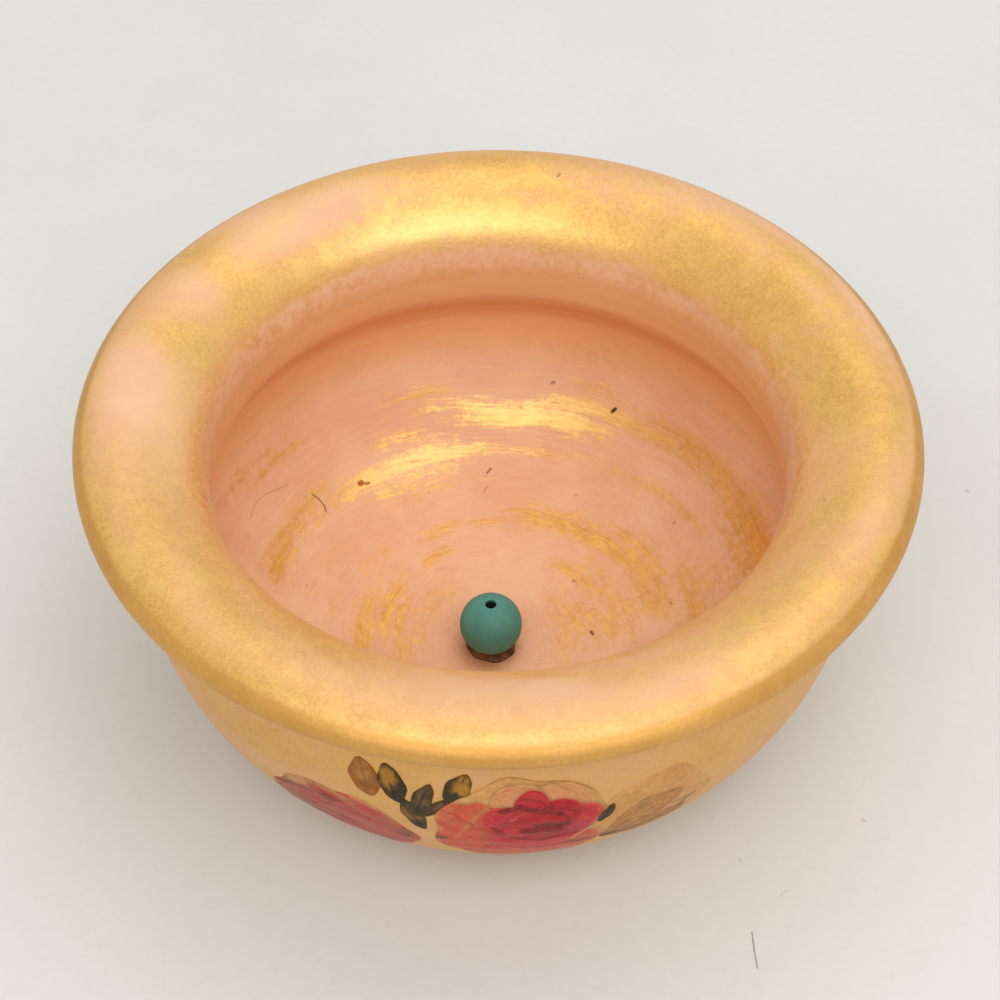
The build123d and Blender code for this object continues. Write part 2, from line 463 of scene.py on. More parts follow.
# Lint on the table, as points in metres, half width, colour and strength.
TABLE_LINT = [
    ([(0.0305, -0.0428, 0), (0.0306, -0.0453, 0), (0.0308, -0.0478, 0)], 0.00010, (0.17, 0.15, 0.15), 0.75),
    ([(0.0656, 0.0299, 0), (0.0658, 0.0297, 0)], 0.00028, (0.38, 0.35, 0.36), 0.60),
    ([(0.0454, -0.0263, 0), (0.0456, -0.0265, 0)], 0.00026, (0.58, 0.36, 0.42), 0.60),
    ([(0.0343, -0.0376, 0), (0.0352, -0.0368, 0)], 0.00010, (0.42, 0.40, 0.38), 0.50),
    ([(0.0297, -0.0322, 0), (0.0298, -0.0326, 0)], 0.00020, (0.50, 0.48, 0.46), 0.50),
]


def paper_floor():
    """Plain pale table top with a little dust."""
    material, tree, where = new_material("pale_floor")
    wash = noise(tree, where, 7, 4, 0.6)
    grain = noise(tree, where, 700, 3, 0.6)
    lint = noise(tree, where, 75, 2, 0.5)
    colour = blend(tree, step(tree, wash, 0.3, 0.7), (0.650, 0.645, 0.632), (0.695, 0.695, 0.688))
    colour = blend(tree, step(tree, grain, 0.45, 0.75, 0, 0.18), colour, (0.60, 0.585, 0.555))
    colour = blend(tree, step(tree, lint, 0.70, 0.78, 0, 0.15), colour, (0.52, 0.49, 0.46))
    colour = add_specks(tree, where, colour, TABLE_LINT)
    roughness = calc(tree, "ADD", 0.72, times(tree, grain, 0.1))
    normal = bump(tree, grain, 0.00012, 0.25)
    surface(tree, colour, roughness, 0.3, normal)
    return material


# -------------------------------------------------------------------- gold brushwork

# Brush strokes inside the bowl, as (arc from the floor's centre in mm, drift of that arc over the
# stroke's length, start and end azimuth in degrees, half width in mm, strength).
# Azimuth runs from the front (0) by the right (90) and the back (180) to the left (270).
HOLLOW_STROKES = [
    (34.9, -0.6, 146, 198, 2.4, 1.10),
    (37.2, -0.6, 138, 178, 1.6, 1.00),
    (36.0, 0.4, 180, 204, 0.9, 0.82),
    (38.3, 0.3, 186, 209, 1.1, 0.71),
    (39.6, 0.2, 151, 167, 1.1, 0.64),
    (37.6, -0.5, 88, 162, 2.9, 0.78),
    (36.0, 0.2, 76, 126, 4.1, 0.91),
    (33.2, -0.4, 195, 216, 1.1, 0.78),
    (31.5, 0.5, 182, 211, 1.0, 0.60),
    (29.3, 0.3, 172, 242, 2.0, 1.04),
    (27.0, -0.2, 184, 230, 1.7, 0.80),
    (25.0, -0.4, 182, 218, 1.2, 0.56),
    (31.6, -1.4, 222, 268, 2.3, 0.84),
    (29.2, 0.6, 216, 256, 1.2, 0.65),
    (30.6, -1.4, 110, 162, 1.1, 0.67),
    (30.0, -0.4, 144, 188, 1.7, 0.51),
    (20.6, -0.9, 104, 188, 2.1, 0.98),
    (20.8, 0.0, 88, 138, 3.9, 0.82),
    (22.9, -0.2, 102, 146, 1.1, 0.82),
    (18.4, -0.3, 170, 198, 1.1, 0.73),
    (18.6, -0.4, 191, 219, 1.2, 0.71),
    (15.3, -0.6, 199, 225, 1.0, 0.95),
    (19.4, 0.4, 218, 248, 1.2, 0.56),
    (24.6, 0.0, 234, 258, 1.0, 0.51),
    (21.6, 0.0, 250, 269, 1.0, 0.58),
    (14.6, 0.4, 228, 280, 1.8, 0.89),
    (16.9, 0.9, 240, 300, 1.7, 0.93),
    (12.4, -0.4, 228, 308, 2.2, 0.69),
    (14.5, 0.0, 218, 308, 5.1, 0.54),
    (9.4, 0.0, 192, 304, 2.4, 0.54),
    (27.0, -3.0, 72, 124, 5.6, 0.62),
    (25.8, -1.5, 84, 116, 1.1, 0.80),
    (33.0, -1.0, 76, 116, 3.7, 0.71),
    (14.0, 0.5, 66, 160, 4.6, 0.60),
    (13.2, 0.6, 112, 160, 1.2, 0.76),
    (16.2, 1.0, 76, 118, 1.8, 0.69),
    (11.6, -0.6, 80, 128, 1.2, 0.69),
    (8.8, 0.0, 36, 156, 3.2, 0.58),
    (38.6, 0.5, 220, 252, 1.0, 0.58),
    (40.4, 1.0, 228, 262, 0.9, 0.54),
    (43.6, -0.5, 146, 180, 1.1, 0.40),
    (24.0, 1.0, 296, 424, 2.9, 0.65),
    (33.0, -2.0, 286, 404, 4.1, 0.69),
    (17.0, 1.0, 306, 384, 2.2, 0.58),
]

# Patches of the rim that keep less gold, or take more, as
# (arc, azimuth, half width of arc, half width of azimuth, change of strength).
RIM_PATCHES = [
    (75.5, 6, 3.4, 10, -0.34),
    (78.0, 26, 1.6, 6, -0.30),
    (74.5, 350, 3.4, 11, -0.30),
    (73.8, 214, 2.2, 11, -0.50),
    (77.0, 205, 2.4, 7, -0.36),
    (78.5, 222, 2.4, 5, -0.36),
    (74.5, 241, 2.6, 4, -0.40),
    (76.0, 266, 4.4, 12, -0.62),
    (80.8, 108, 1.8, 14, -0.36),
    (80.6, 140, 1.8, 18, -0.36),
    (77.4, 148, 1.4, 12, -0.32),
    (76.3, 118, 1.0, 8, -0.30),
    (78.6, 64, 1.4, 7, -0.20),
    (71.2, 30, 2.2, 14, -0.20),
    (73.5, 95, 5.5, 9, 0.34),
    (70.0, 130, 3.4, 20, 0.36),
    (74.0, 122, 2.4, 12, 0.22),
    (77.5, 182, 2.6, 16, 0.20),
    (69.0, 190, 2.6, 44, 0.42),
    (76.5, 234, 4.6, 3.6, 0.32),
    (74.0, 252, 5.2, 4.0, 0.36),
    (74.5, 312, 6.0, 26, 0.12),
    (74.0, 55, 6.0, 24, 0.10),
    (81.2, 8, 1.1, 64, 0.12),
    (82.0, 300, 1.6, 34, 0.30),
    (76.0, 104, 6.0, 40, 0.16),
    (73.0, 180, 5.0, 50, 0.14),
]

# Where the throat is rubbed down to orange, laid out like RIM_PATCHES.
WORN_PATCHES = [
    (64.0, 180, 2.2, 70, 0.42),
    (64.0, 238, 2.6, 34, 0.40),
    (66.4, 288, 1.6, 9, 0.95),
    (65.5, 262, 2.2, 14, 0.45),
    (67.0, 84, 2.0, 24, 0.50),
    (66.5, 50, 1.6, 40, 0.30),
    (67.0, 320, 1.4, 50, 0.30),
    (42.0, 244, 3.0, 16, 0.35),
    (45.0, 165, 1.6, 10, 0.35),
]

# Mostly painted highlights: lemon gold and paler peach where the front lamp's reflection falls on the inner
# strokes, the far slope and the far wall, with some paler paint on the throat and rim; laid out like
# RIM_PATCHES.
SHEEN_AND_PALE_PATCHES = [
    (35.6, 172, 3.0, 24, 0.60),
    (29.0, 203, 3.0, 24, 0.75),
    (68.6, 196, 2.4, 26, 0.50),
    (41.5, 196, 3.0, 34, 0.60),
    (63.5, 180, 2.2, 60, 0.50),
    (71.0, 268, 3.4, 20, 0.40),
    (75.5, 218, 3.0, 16, 0.25),
]

# Dust and fibres stuck in the paint, and a glue smudge round the bead's foot with the bead's contact shadow
# painted in, as points of (arc, azimuth), half width in mm, colour, strength.
SPECKS = [
    # glue smudge round the bead's foot, with the bead's contact shadow painted into it
    ([(1.6, 333.0), (2.4, 333.0)], 3.8, (0.42, 0.195, 0.065), 0.62),
    ([(37.7, 153.2), (37.1, 153.8)], 0.26, (0.030, 0.016, 0.008), 0.95),
    ([(39.3, 167.8), (39.1, 168.3)], 0.24, (0.22, 0.14, 0.08), 0.65),
    ([(29.4, 219.3), (29.4, 218.8)], 0.42, (0.36, 0.085, 0.020), 0.95),
    ([(29.0, 217.9), (28.9, 217.2)], 0.26, (0.30, 0.085, 0.025), 0.90),
    ([(32.1, 231.9), (30.9, 231.4), (29.8, 231.5), (28.9, 232.4)], 0.12, (0.22, 0.100, 0.045), 0.80),
    ([(26.6, 182.1), (26.0, 183.2)], 0.16, (0.16, 0.070, 0.028), 0.85),
    ([(24.0, 183.4), (23.6, 184.2), (23.0, 184.6)], 0.14, (0.46, 0.22, 0.10), 0.55),
    ([(22.6, 98.8), (22.4, 99.8)], 0.17, (0.26, 0.15, 0.07), 0.65),
    ([(11.8, 89.0), (11.6, 90.8)], 0.26, (0.15, 0.065, 0.025), 0.85),
    ([(12.9, 131.0), (12.9, 132.0)], 0.20, (0.28, 0.12, 0.04), 0.75),
    ([(28.6, 124.3), (28.3, 124.1)], 0.18, (0.38, 0.17, 0.06), 0.65),
    (
        [(35.2, 235.5), (35.8, 238.5), (36.6, 241.5), (36.9, 245.5), (36.4, 249.0)],
        0.08,
        (0.44, 0.20, 0.09),
        0.60,
    ),
    ([(24.6, 154.5), (24.5, 155.0)], 0.14, (0.42, 0.24, 0.13), 0.55),
    ([(24.6, 202.1), (24.4, 202.6)], 0.16, (0.40, 0.22, 0.11), 0.55),
    ([(25.6, 256.0), (25.4, 257.5)], 0.12, (0.44, 0.20, 0.10), 0.50),
    ([(76.1, 169.4), (75.7, 169.6)], 0.24, (0.32, 0.17, 0.08), 0.70),
    ([(72.3, 69.8), (72.1, 70.2)], 0.18, (0.44, 0.24, 0.10), 0.55),
]


def patches_at(arc, azimuth, patches):
    """Sum of soft patches, each (arc, azimuth, half width of arc, half width of azimuth, amount)."""
    amount = 0 * arc
    for centre, towards, half, spread, change in patches:
        off = (turn_from(azimuth + 180, towards) - 180) / spread
        amount = amount + change * np.exp(-(((arc - centre) / half) ** 2) - off**2)
    return amount


def turn_from(azimuth, start):
    """Degrees from start round to azimuth, 0 to 360."""
    return np.mod(azimuth - start, 360)


def gold_strength(arc, azimuth, rim_end):
    """How strongly gold was brushed on: 0 is bare peach paint and 1 solid gold."""
    wander = 0.55 * fractal(azimuth / 21, arc / 9 + 5, 11)
    hollow = 0.12 + 0.16 * fractal(azimuth / 26, arc / 1.6, 12)
    for centre, drift, start, end, half, strength in HOLLOW_STROKES:
        along = turn_from(azimuth, start) / (end - start)
        across = (arc + wander - centre - drift * along) / half
        ends = smooth(-0.06, 0.30, along) * smooth(1.06, 0.66, along)
        stroke = strength * np.exp(-(across**2)) * ends
        hollow = np.maximum(hollow, stroke)
    slant = azimuth - 3.2 * (arc - 76)
    rim = 0.60 + 0.20 * fractal(slant / 11, arc / 7, 13) + patches_at(arc, azimuth, RIM_PATCHES)
    throat = 0.24 + 0.14 * fractal(azimuth / 12, arc / 3, 14)
    belly = 0.64 + 0.46 * fractal(azimuth / 11 + arc / 9, arc / 5, 15)
    inside = hollow * (1 - smooth(47, 55, arc)) + throat * smooth(47, 55, arc)
    gilt = smooth(64.7, 66.5, arc + 0.9 * fractal(azimuth / 6, arc / 4, 17))
    above = inside * (1 - gilt) + rim * gilt
    face = smooth(rim_end - 2.8, rim_end - 1.9, arc)
    above = above * (1 - face) + (0.88 + 0.2 * fractal(azimuth / 12, arc / 2, 18)) * face
    under = smooth(rim_end + 3, rim_end + 8, arc)
    return above * (1 - under) + belly * under


def specks_on(section, arc):
    """SPECKS with their points moved on to the bowl, in metres."""
    marks = []
    for points, width, colour, strength in SPECKS:
        along = np.array([p[0] for p in points], float)
        azimuth = np.radians([p[1] for p in points])
        radius = np.interp(along, arc[::-1], section[::-1, 0])
        height = np.interp(along, arc[::-1], section[::-1, 1])
        places = place(*thrown(radius, height, azimuth), azimuth)
        marks.append(([tuple(float(v) for v in p) for p in places], width * MM, colour, strength))
    return marks


def build_bowl():
    section = bowl_section()
    rows = len(section)
    lengths = np.linalg.norm(np.diff(section, axis=0), axis=1)
    arc = np.concatenate([[0], np.cumsum(lengths)])
    arc = arc[-1] - arc
    azimuth = 2 * math.pi * np.arange(COLUMNS) / COLUMNS
    radius = section[:, :1] + 0 * azimuth
    height = section[:, 1:] + 0 * azimuth
    turn = azimuth + 0 * radius
    arcs = arc[:, None] + 0 * azimuth
    points = place(*thrown(radius, height, turn), turn).reshape(-1, 3)
    faces = grid_faces(rows, COLUMNS, True)
    last = (rows - 1) * COLUMNS
    floor_centre = len(points)
    foot_centre = floor_centre + 1
    points = np.concatenate([points, [[0, 0, FLOOR_Z * MM], [0, 0, 0]]])
    for c in range(COLUMNS):
        d = (c + 1) % COLUMNS
        faces.append((last + c, last + d, floor_centre))
        faces.append((d, c, foot_centre))
    rim_end = float(arc[np.argmax(section[:, 0])])
    gold = gold_strength(arcs, np.degrees(turn), rim_end)
    worn = np.clip(patches_at(arcs, np.degrees(turn), WORN_PATCHES), 0, 1)
    # painted highlights where the front lamp's reflection falls, with some paler paint on the throat and rim
    pale = np.clip(patches_at(arcs, np.degrees(turn), SHEEN_AND_PALE_PATCHES), 0, 1)
    glaze = smooth(48, 58, arcs)
    # painted shade: warmer orange under the rim's lip, from the hollow's widest up through the throat
    painted_undercut_shade = smooth(41, 47, arcs) * smooth(65, 61, arcs)
    # painted shade, partly the thicker gold there: the rim's outer face darkened, and the belly more weakly
    face = smooth(rim_end - 2.7, rim_end - 2.0, arcs)
    edge = face * (1 - 0.62 * smooth(rim_end + 4, rim_end + 9, arcs))
    mottle = 0.52 - 0.42 * np.cos(turn + 0.55) * smooth(60, 66, arcs)
    mottle = mottle + 0.4 * smooth(rim_end, rim_end + 6, arcs)
    swirl = arcs + 1.2 * fractal(np.degrees(turn) / 30, arcs / 12, 16)
    bristle = np.stack([2.3 * np.cos(turn), 2.3 * np.sin(turn), swirl * 1.2], axis=-1)
    pad = lambda values: np.concatenate([values.ravel(), [values.ravel()[last], values.ravel()[0]]])
    brush = np.concatenate([bristle.reshape(-1, 3), bristle.reshape(-1, 3)[[last, 0]]])
    painted = (gold, glaze, worn, edge, mottle, pale, painted_undercut_shade)
    bowl = add_mesh(
        "painted_bowl",
        points,
        faces,
        painted_clay(specks_on(section, arc)),
        floats={name: pad(values) for name, values in zip(PAINT_VALUES, painted)},
        vectors={"brush": brush},
    )
    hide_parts("bowl")


# ----------------------------------------------------------------------- bead, glue


def revolve(section, spokes, centre, bend=None):
    """Points of a section of (radius, height) turned about an upright axis through centre."""
    azimuth = 2 * math.pi * np.arange(spokes) / spokes
    radius = section[:, :1] + 0 * azimuth
    height = section[:, 1:] + 0 * azimuth
    turn = azimuth + 0 * radius
    if bend is not None:
        radius, height = bend(radius, height, turn)
    points = np.stack([radius * np.sin(turn), -radius * np.cos(turn), height], axis=-1)
    return points.reshape(-1, 3) * MM + np.array(centre)


def build_bead():
    low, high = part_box("bead")
    radius = (high.x - low.x) / 2 / MM
    hole = 0.70
    lip = 0.16
    centre = ((low.x + high.x) / 2, (low.y + high.y) / 2, (low.z + high.z) / 2)
    start = math.asin((hole + lip) / radius)
    turns = np.linspace(start, math.pi - start, 72)
    ball = np.stack([radius * np.sin(turns), radius * np.cos(turns)], axis=1)
    top = ball[0, 1]
    corner = np.linspace(0.2, math.pi / 2, 6)
    upper_lip = np.stack([hole + lip * (1 - np.sin(corner)), top - lip * (1 - np.cos(corner))], axis=1)
    wall_z = np.linspace(top - lip - 0.1, -top + lip + 0.1, 24)
    wall = np.stack([np.full(24, hole), wall_z], axis=1)
    lower_lip = upper_lip[::-1] * (1, -1)
    section = np.concatenate([ball[::-1], upper_lip, wall, lower_lip])
    spokes = 96
    points = revolve(section, spokes, centre)
    faces = grid_faces(len(section), spokes, True)
    last = (len(section) - 1) * spokes
    for c in range(spokes):
        d = (c + 1) % spokes
        faces.append((last + c, last + d, d, c))
    # painted shade: darker the deeper a point lies inside the bore
    depth = np.where(section[:, 0] < hole + 0.02, smooth(top - 0.1, top - 0.5, np.abs(section[:, 1])), 0)
    painted_bore_shade = np.repeat(depth, spokes)
    bead = add_mesh("bead_body", points, faces, teal_bead(), floats={"painted_bore_shade": painted_bore_shade})
    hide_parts("bead")


def build_glue():
    low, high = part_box("glue_dab")
    reach = (high.x - low.x) / 2 / MM
    tall = (high.z - low.z) / MM
    centre = ((low.x + high.x) / 2, (low.y + high.y) / 2, low.z)
    side = [(reach, -0.05), (reach - 0.12, 0.20), (2.75, 0.42), (2.52, tall)]
    outer = spline(side, (-0.1, 1), (-0.3, 1), 22)
    inner = spline([(2.45, tall), (1.9, 0.62), (0.0, 0.20)], (-0.2, -1), (-1, 0), 16)
    section = np.concatenate([outer, inner[:-1]])

    def lumpy(radius, height, turn):
        swell = 0.12 * np.sin(turn - 0.4) + 0.10 * np.sin(3 * turn - 0.5) + 0.07 * np.sin(7 * turn)
        share = smooth(2.3, reach, radius)
        return radius + swell * share, height * (1 + 0.12 * np.sin(2 * turn + 0.5) + 0.05 * np.sin(5 * turn))

    spokes = 120
    points = revolve(section, spokes, centre, lumpy)
    faces = grid_faces(len(section), spokes, True)
    last = (len(section) - 1) * spokes
    top = len(points)
    x, y, z = centre
    points = np.concatenate([points, [[x, y, z + 0.2 * MM], [x, y, z]]])
    for c in range(spokes):
        d = (c + 1) % spokes
        faces.append((last + c, last + d, top))
        faces.append((d, c, top + 1))
    glue = add_mesh("glue_body", points, faces, clear_glue())
    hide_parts("glue_dab")


# ------------------------------------------------------------------- printed paper

DEGREE = BELLY_RADIUS * math.pi / 180  # mm along the belly for one degree of azimuth

CRIMSON = (0.390, 0.010, 0.018)
WINE = (0.130, 0.005, 0.010)
ROSE = (0.520, 0.030, 0.036)
CORAL = (0.560, 0.085, 0.040)
SALMON = (0.560, 0.140, 0.062)
PEACH = (0.640, 0.260, 0.095)
OCHRE = (0.300, 0.125, 0.014)
OLIVE = (0.058, 0.038, 0.009)
NAVY = (0.010, 0.010, 0.012)
GREEN = (0.055, 0.058, 0.018)
TAN = (0.360, 0.120, 0.016)
MAGENTA = (0.430, 0.034, 0.070)
MAUVE = (0.260, 0.085, 0.075)
DUSK = (0.400, 0.090, 0.052)
AMBER = (0.400, 0.190, 0.022)
TISSUE = (0.620, 0.325, 0.115)
BLUSH = (0.620, 0.265, 0.110)


def petal(ink, u, z, centre, size, tilt, deep, pale, seed, lip=None):
    """Lays one printed petal on the ink: deep at its base, pale towards its upper edge."""
    turn = math.radians(tilt)
    along = (u - centre[0]) * math.cos(turn) + (z - centre[1]) * math.sin(turn)
    up = -(u - centre[0]) * math.sin(turn) + (z - centre[1]) * math.cos(turn)
    wobble = 0.16 * fractal(u * 0.42, z * 0.42, seed)
    reach = np.hypot(along / size[0], up / size[1]) + wobble
    inside = smooth(1.04, 0.94, reach)
    veins = 0.16 * value_noise(along * 1.9 + 0.5 * up, up * 0.35, seed + 3)
    tone = np.clip(smooth(-0.9, 0.95, up / size[1]) + veins + 0.22 * fractal(u, z, seed + 1), 0, 1)
    body = mix(deep, pale, tone)
    edge = smooth(0.80, 0.93, reach) * smooth(1.04, 0.96, reach) * smooth(-0.2, 0.6, up / size[1])
    body = mix(body, lip if lip is not None else pale, 0.75 * edge)
    shade = smooth(1.22, 1.0, reach) * (1 - inside)
    ink = ink * (1 - 0.28 * shade[..., None])
    return mix(ink, body, inside)


def brush_line(ink, u, z, points, width, colour, strength=1.0):
    """A soft painted line through points."""
    near = np.full(np.shape(u), 99.0)
    for (u0, z0), (u1, z1) in zip(points[:-1], points[1:]):
        span = (u1 - u0) ** 2 + (z1 - z0) ** 2
        t = np.clip(((u - u0) * (u1 - u0) + (z - z0) * (z1 - z0)) / span, 0, 1)
        near = np.minimum(near, np.hypot(u - u0 - t * (u1 - u0), z - z0 - t * (z1 - z0)))
    near = near * (1 + 0.5 * value_noise(u * 1.3, z * 1.3, 71))
    return mix(ink, colour, strength * smooth(width, width * 0.35, near))


def spot(ink, u, z, centre, size, colour, strength=1.0):
    """A soft blot of colour."""
    reach = np.hypot((u - centre[0]) / size[0], (z - centre[1]) / size[1])
    return mix(ink, colour, strength * smooth(1.25, 0.55, reach + 0.25 * fractal(u * 0.8, z * 0.8, 77)))


def draw(ink, u, z, marks):
    """Lays printed marks on the ink in order, each given as its drawing function and its settings."""
    for mark, *settings in marks:
        ink = mark(ink, u, z, *settings)
    return ink


def worn_print(ink, u, z, seed):
    """Breaks the print up with fine grain and small rubbed flecks where the tissue shows."""
    grain = 1 + 0.20 * fractal(u * 3.1, z * 3.1, seed)
    rubbed = smooth(0.42, 0.70, fractal(u * 1.7 + 3, z * 1.7, seed + 4))
    return mix(ink * grain[..., None], TISSUE, 0.20 * rubbed)


def bare_tissue(u, z, seed):
    """Unprinted tissue: the belly's gold shows through it."""
    gold = smooth(0.25, 0.75, 0.5 + 0.5 * fractal(u * 0.45, z * 0.45, seed))
    return mix(TISSUE, (0.56, 0.270, 0.080), gold)


CENTRE_ROSE_MARKS = [
    (petal, (-3.8, 17.0), (5.6, 4.4), 150, SALMON, CORAL, 101, SALMON),
    (petal, (8.8, 16.8), (4.6, 4.0), 210, CORAL, SALMON, 102, PEACH),
    (petal, (3.0, 15.6), (7.0, 3.8), 180, ROSE, SALMON, 103, PEACH),
    (petal, (-5.2, 24.2), (4.2, 4.4), 28, CORAL, SALMON, 104, CORAL),
    (petal, (-4.0, 20.6), (4.4, 3.6), 70, CORAL, CORAL, 105, SALMON),
    (petal, (-2.0, 26.4), (2.4, 2.8), 40, SALMON, CORAL, 116, CORAL),
    (petal, (7.6, 28.6), (3.8, 3.0), -32, BLUSH, BLUSH, 106, TISSUE),
    (petal, (2.2, 29.6), (3.0, 2.4), 30, BLUSH, BLUSH, 107, TISSUE),
    (petal, (4.9, 21.4), (5.8, 4.2), 184, CRIMSON, ROSE, 108, CORAL),
    (petal, (8.4, 24.0), (2.9, 4.0), -50, CRIMSON, ROSE, 109, CORAL),
    (petal, (1.4, 24.6), (3.0, 4.0), 52, CRIMSON, ROSE, 110, CORAL),
    (petal, (7.2, 26.9), (2.6, 2.3), -24, CRIMSON, CRIMSON, 111, ROSE),
    (petal, (3.9, 28.2), (2.0, 3.1), 4, CRIMSON, ROSE, 112, CRIMSON),
    (petal, (4.7, 24.2), (4.2, 3.2), 14, CRIMSON, CRIMSON, 113, ROSE),
    (petal, (6.2, 22.2), (3.2, 2.2), 172, WINE, CRIMSON, 114, ROSE),
    (petal, (2.2, 22.8), (2.3, 2.0), 205, CRIMSON, ROSE, 115, CRIMSON),
    (spot, (3.6, 22.6), (1.3, 1.0), WINE, 0.8),
    (brush_line, [(0.4, 27.4), (2.2, 28.1), (4.4, 27.2), (6.8, 26.2)], 0.75, WINE, 0.75),
    (brush_line, [(7.2, 26.4), (8.2, 24.2), (7.4, 22.4)], 0.45, WINE, 0.55),
    (brush_line, [(-0.6, 23.6), (1.6, 21.0), (4.8, 19.6), (8.2, 20.6)], 0.40, WINE, 0.60),
    (brush_line, [(2.6, 29.6), (4.6, 29.2), (5.8, 27.8)], 0.30, WINE, 0.45),
    (spot, (9.2, 22.6), (1.7, 0.9), MAGENTA, 0.8),
    (spot, (1.2, 25.8), (1.2, 0.7), MAGENTA, 0.55),
    (brush_line, [(8.4, 18.6), (9.8, 20.2), (11.0, 21.8)], 0.30, PEACH, 0.75),
    (brush_line, [(-4.7, 20.6), (-3.3, 24.2), (-1.8, 27.0), (-0.2, 29.6)], 0.40, PEACH, 0.35),
    (brush_line, [(-3.9, 21.8), (-2.4, 25.4), (-0.9, 28.6)], 0.22, OCHRE, 0.30),
    (
        brush_line,
        [(0.9, 31.8), (2.0, 33.2), (3.4, 33.9), (4.9, 32.7), (6.6, 31.6), (8.4, 30.2), (9.6, 28.0)],
        0.20, OCHRE, 0.25,
    ),
    (brush_line, [(-0.6, 30.4), (1.4, 31.4), (2.6, 30.6)], 0.22, SALMON, 0.45),
    (brush_line, [(10.2, 29.6), (11.4, 27.2), (12.2, 24.6)], 0.20, OCHRE, 0.20),
    (brush_line, [(-7.6, 27.6), (-5.0, 26.4), (-2.6, 24.2)], 0.32, ROSE, 0.65),
    (brush_line, [(-7.0, 24.0), (-4.8, 23.0), (-3.0, 20.6)], 0.30, ROSE, 0.55),
    (spot, (-7.6, 26.2), (0.9, 1.6), TISSUE, 0.75),
    (spot, (-6.9, 20.0), (1.3, 0.7), GREEN, 0.75),
    (spot, (-7.0, 22.6), (0.8, 1.1), PEACH, 0.7),
    (spot, (10.2, 17.6), (2.2, 0.6), OLIVE, 0.55),
]


def centre_rose_ink(u, z):
    return worn_print(draw(bare_tissue(u, z, 31), u, z, CENTRE_ROSE_MARKS), u, z, 35)


LEFT_ROSE_PETALS = [
    (petal, (-25.0, 18.2), (4.4, 4.6), 60, MAUVE, DUSK, 201, SALMON),
    (petal, (-12.4, 17.0), (4.6, 4.2), -40, ROSE, DUSK, 202, SALMON),
    (petal, (-19.0, 13.0), (6.8, 3.4), 184, MAUVE, DUSK, 203, SALMON),
    (petal, (-21.4, 21.4), (4.2, 3.4), 24, CRIMSON, DUSK, 204, CORAL),
    (petal, (-15.4, 20.4), (4.6, 3.2), -22, ROSE, DUSK, 205, SALMON),
    (petal, (-19.6, 18.0), (3.8, 3.0), 30, CRIMSON, DUSK, 206, CORAL),
    (petal, (-16.2, 17.6), (3.2, 2.8), -24, ROSE, DUSK, 207, CORAL),
    (petal, (-18.6, 15.8), (2.8, 2.2), 182, CRIMSON, ROSE, 208, CORAL),
    (spot, (-18.8, 17.4), (1.1, 0.8), WINE, 0.7),
    (brush_line, [(-18.4, 25.4), (-16.2, 24.2), (-13.8, 22.6)], 1.0, ROSE, 0.85),
    (spot, (-20.2, 23.0), (1.5, 0.8), WINE, 0.8),
    (brush_line, [(-20.6, 21.6), (-16.4, 19.0), (-12.4, 16.6)], 0.45, MAUVE, 0.70),
    (brush_line, [(-16.8, 25.2), (-13.2, 24.2), (-10.6, 21.6)], 0.50, PEACH, 0.60),
    (brush_line, [(-27.6, 21.8), (-24.6, 22.4), (-21.8, 24.6)], 0.45, MAUVE, 0.60),
    (spot, (-10.8, 19.8), (1.4, 0.8), OLIVE, 0.55),
    (spot, (-24.4, 24.0), (1.8, 1.0), TISSUE, 0.8),
]
LEFT_ROSE_TOUCHES = [
    (brush_line, [(-28.4, 20.2), (-25.6, 22.0), (-22.6, 22.6)], 0.40, WINE, 0.60),
    (brush_line, [(-21.8, 24.2), (-18.6, 23.0), (-15.4, 20.6)], 0.45, CRIMSON, 0.75),
    (brush_line, [(-19.4, 20.6), (-16.0, 18.4), (-12.4, 17.6)], 0.35, SALMON, 0.55),
    (spot, (-11.2, 18.6), (1.3, 0.9), GREEN, 0.60),
]


def left_rose_ink(u, z):
    ink = draw(bare_tissue(u, z, 32), u, z, LEFT_ROSE_PETALS)
    faded = 0.30 + 0.22 * fractal(u * 0.7, z * 0.9, 38)
    ink = mix(ink, (0.330, 0.105, 0.060), faded)
    return worn_print(draw(ink, u, z, LEFT_ROSE_TOUCHES), u, z, 36)


def leaf_ink(u, z, base, tip, seed, rim_colour, heart, vein):
    """A printed leaf: dark towards its edges, lighter at heart, with a midrib and side veins."""
    along_u, along_z = tip[0] - base[0], tip[1] - base[1]
    length = math.hypot(along_u, along_z)
    t = ((u - base[0]) * along_u + (z - base[1]) * along_z) / length**2
    side = (-(u - base[0]) * along_z + (z - base[1]) * along_u) / length
    width = 0.42 * np.sqrt(np.clip(4 * t * (1 - t), 0.02, 1)) * length * 0.5
    spread = np.abs(side) / width
    patch = 0.30 * fractal(u * 0.9, z * 0.9, seed)
    glow = smooth(0.85, 0.15, spread + patch) * smooth(0.25, 0.5, t) * smooth(1.0, 0.75, t)
    ink = mix(rim_colour, heart, glow)
    ribs = np.abs(np.mod(t * 5.5 - 0.55 * spread, 1) - 0.5)
    ink = mix(ink, vein, 0.35 * smooth(0.12, 0.03, ribs) * smooth(1.1, 0.6, spread))
    midrib = smooth(0.24, 0.08, np.abs(side)) * smooth(0.02, 0.2, t) * smooth(0.95, 0.7, t)
    ink = mix(ink, vein, 0.65 * midrib)
    return ink * (0.86 + 0.28 * fractal(u * 1.6, z * 1.6, seed + 5))[..., None]


